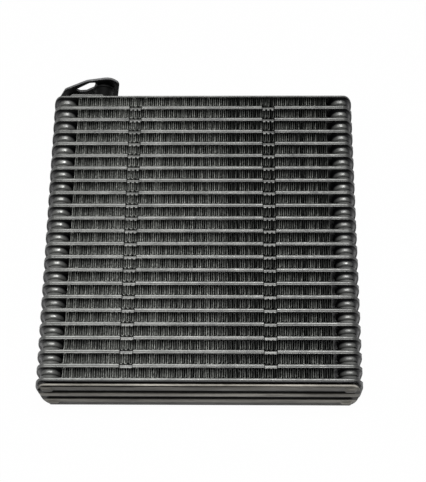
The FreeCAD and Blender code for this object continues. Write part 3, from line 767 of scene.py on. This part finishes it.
# %% Side plate
side_low, side_high = node_box("side_plate_lower")
SIDE_SHEET, BEAD_DEPTH, BOSS_HEIGHT = 1.6, 1.7, 1.5
BEAD_APART, BEAD_FORWARD, BEAD_HALF = 9.0, 1.8, 4.5
BOSS_HALF, BOSS_EDGE, BOSS_APART = (5.0, 5.5), 3.5, 20.0
outer_face = side_low.y + BOSS_HEIGHT
inner_face = outer_face + SIDE_SHEET
bead_reach = side_high.x - 4.0
side = new_mesh()
outline = rounded_box((side_low.x, side_low.z), (side_high.x, side_high.z), (8.0, 22.0), arc=10)
rings = [ring(side, inset(outline, inward), outer_face + rise) for inward, rise in
         ((0.6, 0.0), (0.2, 0.12), (0.0, 0.5), (0.0, 1.1), (0.2, 1.48), (0.6, SIDE_SHEET))]
loft(side, rings)
outer_holes, inner_holes = [], []
for sign in (-1, 1):
    z = MIDDLE + sign * BEAD_APART + BEAD_FORWARD
    bead = rounded_box((-bead_reach, z - BEAD_HALF), (bead_reach, z + BEAD_HALF), 4.3)
    for face, holes in ((outer_face, outer_holes), (inner_face, inner_holes)):
        # The third number of each ring is painted shade: the bead's walls and floor are painted dark, as
        # in their shadow.
        slope = [ring(side, inset(bead, inward), face + rise, painted_shade) for inward, rise, painted_shade in
                 ((-0.3, 0.0, 0.0), (0.15, 0.12, 0.3), (0.65, 0.65, 0.8), (1.2, 1.4, 1.0),
                  (1.7, BEAD_DEPTH, 1.0))]
        loft(side, slope)
        fill_flat(side, [slope[-1]])
        holes.append(slope[0])
    for across in (-1, 1):
        x = across * (side_high.x - BOSS_EDGE - BOSS_HALF[0])
        z = MIDDLE + sign * BOSS_APART
        boss = rounded_box((x - BOSS_HALF[0], z - BOSS_HALF[1]), (x + BOSS_HALF[0], z + BOSS_HALF[1]), 2.6)
        rise = [ring(side, inset(boss, inward), outer_face - height) for inward, height in
                ((-0.3, 0.0), (0.15, 0.15), (0.8, 0.75), (1.4, 1.3), (1.95, BOSS_HEIGHT))]
        loft(side, rise)
        side.faces.new(rise[-1])
        outer_holes.append(rise[0])
fill_flat(side, [rings[0]] + outer_holes)
fill_flat(side, [rings[-1]] + inner_holes)
side_plate = finish_mesh(side, "side_plate")
side_plate.data.materials.append(SIDE_METAL)
keep(side_plate, "side_plate", "side_plate_lower")

# %% [markdown]
# ## The duct under the pipes
#
# A raised duct on the upper end sheet leads the refrigerant to the round seat of the larger pipe.
# It is one closed line, a rectangle joined with a circle, lofted to a low crown.

# %% Port cover
left = node_box("port_cover")[0].x
pipe_low, pipe_high = node_box("suction_pipe")
pipe_x, pipe_z = (pipe_low.x + pipe_high.x) / 2, (pipe_low.z + pipe_high.z) / 2
SEAT, SEAT_CUTS = 11.0, 20
DUCT_WIDTH, DUCT_LENGTH = 29.0, 32.0
right, rear = left + DUCT_WIDTH, DEPTH - DUCT_LENGTH
start = math.atan2(math.sqrt(SEAT ** 2 - (right - pipe_x) ** 2), right - pipe_x)
end = -math.pi + math.asin((pipe_z - rear) / SEAT)
angles = [start + (end - start) * i / SEAT_CUTS for i in range(SEAT_CUTS + 1)]
arc = [(pipe_x + SEAT * math.cos(angle), pipe_z + SEAT * math.sin(angle)) for angle in angles]
duct_line = split_sides([(left, rear), (left, DEPTH), (right, DEPTH)] + arc, 4.0)
duct = new_mesh()
rise = [ring(duct, inset(duct_line, inward), sheet_top + height) for inward, height in
        ((0.0, 0.0), (0.35, 0.6), (1.1, 1.75), (1.6, 2.4), (2.1, 2.7), (2.7, 2.8))]
loft(duct, rise)
fill_flat(duct, [rise[-1]])
fill_flat(duct, [rise[0]])
port_cover = finish_mesh(duct, "duct_cover")
port_cover.data.materials.append(PLATE_METAL)
keep(port_cover, "tube_plate", "port_cover")

# %% [markdown]
# ## The pipe flange and the pipes
#
# A black coated flange ties the two pipes together. It is a flat stamping with round corners, two
# pipe holes and an oblong hole that lets the background through. The pipes are turned walls with a
# swaged ring under the flange.

# %% Flange
flange_low, flange_high = node_box("pipe_flange")
near, far, front = flange_high.x, flange_low.x, flange_high.z
liquid_low, liquid_high = node_box("liquid_pipe")
liquid_x, liquid_z = (liquid_low.x + liquid_high.x) / 2, (liquid_low.z + liquid_high.z) / 2
# The stamped outline stands a little proud of the plain solid at the nose and in front.
near += 0.35
front += 0.7
shoulder = (near - 28.6, front - 5.1)
corners = [(far, flange_low.z), (near - 6.3, flange_low.z), (near, front - 8.5), (near - 7.3, front),
           shoulder, (shoulder[0] - 21.2, shoulder[1] - 14.7), (far, front - 40.9)]
slot = rounded_corners([(-109.2, 33.2), (-104.0, 33.9), (-94.2, 41.4), (-92.8, 45.0), (-94.8, 48.6),
                        (-99.6, 48.0), (-113.6, 36.4)], 1.6, arc=4)
flange = new_mesh()
EDGE = ((0.5, 0.0), (0.14, 0.12), (0.0, 0.45), (0.0, 1.55), (0.14, 1.88), (0.5, 2.0))
edge_line = split_sides(rounded_corners(corners, 9.0), 5.0)
lines = [(edge_line, 1), (slot, -1), (circle(pipe_x, pipe_z, 8.1, 48), -1),
         (circle(liquid_x, liquid_z, 5.1, 36), -1)]
lower, upper = [], []
for line, way in lines:
    rings = [ring(flange, inset(line, way * inward), flange_low.y + height) for inward, height in EDGE]
    loft(flange, rings)
    lower.append(rings[0])
    upper.append(rings[-1])
fill_flat(flange, lower)
fill_flat(flange, upper)
pipe_flange = finish_mesh(flange, "black_flange")
pipe_flange.data.materials.append(BLACK_COAT)
keep(pipe_flange, "black_coat", "pipe_flange")


# %% Pipes
def pipe(name, node, bore):
    """A pipe stub: its wall with a rounded open end, and a swaged ring under the flange."""
    low, high = node_box(node)
    x, z, radius = (low.x + high.x) / 2, (low.z + high.z) / 2, (high.x - low.x) / 2
    under = flange_low.y
    swage = [(radius + out, under - down) for out, down in
             ((0, 2.6), (0.5, 2.45), (1.1, 2.0), (1.3, 1.3), (1.1, 0.6), (0.4, 0.15), (0, 0.1))]
    section = [(bore, low.y), (radius, low.y)] + swage + [
        (radius, high.y - 0.5), (radius - 0.2, high.y - 0.1), (radius - 0.5, high.y),
        (bore + 0.3, high.y), (bore, high.y - 0.3)]
    bm = new_mesh()
    rings = [ring(bm, circle(x, z, r, 48), y) for r, y in section]
    loft(bm, rings + [rings[0]])
    piece = finish_mesh(bm, name)
    piece.data.materials.append(PIPE_COAT)
    keep(piece, "black_coat", node)


pipe("suction_stub", "suction_pipe", 6.5)
pipe("liquid_stub", "liquid_pipe", 3.7)

# %% [markdown]
# ## Floor, light and camera
#
# The core lies on a pale floor that shows white to the camera and still takes a soft shadow. A
# large lamp above and to the right sets the highlights on the cups, a weaker one to the left
# makes them longer, and a pale world fills the rest. The camera stands where the photograph was
# taken from: above the lower end, looking down at the front face.

# %% Floor
FLOOR_REACH, FLOOR_LEVEL, FLOOR_GLOW = 20.0, -0.0002, 0.98
floor_mesh = bpy.data.meshes.new("floor")
floor_mesh.from_pydata([(x * FLOOR_REACH, y * FLOOR_REACH, FLOOR_LEVEL)
                        for x, y in ((-1, -1), (1, -1), (1, 1), (-1, 1))], [], [(0, 1, 2, 3)])
floor = bpy.data.objects.new("floor", floor_mesh)
scene.collection.objects.link(floor)
white = bpy.data.materials.new("pale floor")
white.use_nodes = True
tree = white.node_tree
matte = tree.nodes["Principled BSDF"]
matte.inputs["Base Color"].default_value = (*grey(0.82), 1)
matte.inputs["Roughness"].default_value = 0.9
# It glows white only to the camera, to mirrors and through glass, and the rest keeps the shadow.
ray = add(tree, "ShaderNodeLightPath").outputs
seen = ray["Is Camera Ray"]
for kind in ("Is Transmission Ray", "Is Glossy Ray"):
    seen = compute(tree, "Math", "MAXIMUM", seen, ray[kind])
share = compute(tree, "Math", "MULTIPLY", seen, FLOOR_GLOW)
glow = add(tree, "ShaderNodeEmission", Strength=1.0).outputs[0]
blend = add(tree, "ShaderNodeMixShader", i0=share, i1=matte.outputs[0], i2=glow).outputs[0]
tree.links.new(blend, tree.nodes["Material Output"].inputs["Surface"])
floor_mesh.materials.append(white)
print("floor", 2 * FLOOR_REACH, "m wide")

# %% World and lamps
world = bpy.data.worlds.new("studio")
scene.world = world
world.use_nodes = True
sky = world.node_tree.nodes["Background"]
sky.inputs["Color"].default_value = (0.95, 0.97, 1.0, 1)
sky.inputs["Strength"].default_value = 0.11


def lamp(name, place, aim, size, watts):
    """A soft rectangular lamp at place, turned to aim at a point."""
    data = bpy.data.lights.new(name, "AREA")
    data.shape, data.size, data.size_y, data.energy = "RECTANGLE", size[0], size[1], watts
    light = bpy.data.objects.new(name, data)
    light.location = place
    light.rotation_euler = (Vector(aim) - Vector(place)).to_track_quat("-Z", "Y").to_euler()
    scene.collection.objects.link(light)
    print(name, "lamp", watts, "W")


lamp("key", (0.27, 0.0, 2.0), (0, 0, 0.03), (0.5, 0.5), 27)
lamp("fill", (-0.45, -0.1, 1.8), (0, 0, 0.03), (0.6, 0.6), 9)

# %% Camera
camera_data = bpy.data.cameras.new("camera")
camera_data.sensor_width = 36.0
camera_data.lens = 85.59
camera = bpy.data.objects.new("camera", camera_data)
forward = Vector((-0.01966, 0.38269, -0.92367)).normalized()
up = Vector((-0.00091, 0.92384, 0.38278))
sideways = forward.cross(up).normalized()
up = sideways.cross(forward)
turn = Matrix((sideways, up, -forward)).transposed()
camera.matrix_world = Matrix.Translation((0.02911, -0.36809, 0.92586)) @ turn.to_4x4()
scene.collection.objects.link(camera)
scene.camera = camera
scene.view_settings.view_transform = "Standard"
print("camera lens", round(camera_data.lens, 2), "mm")
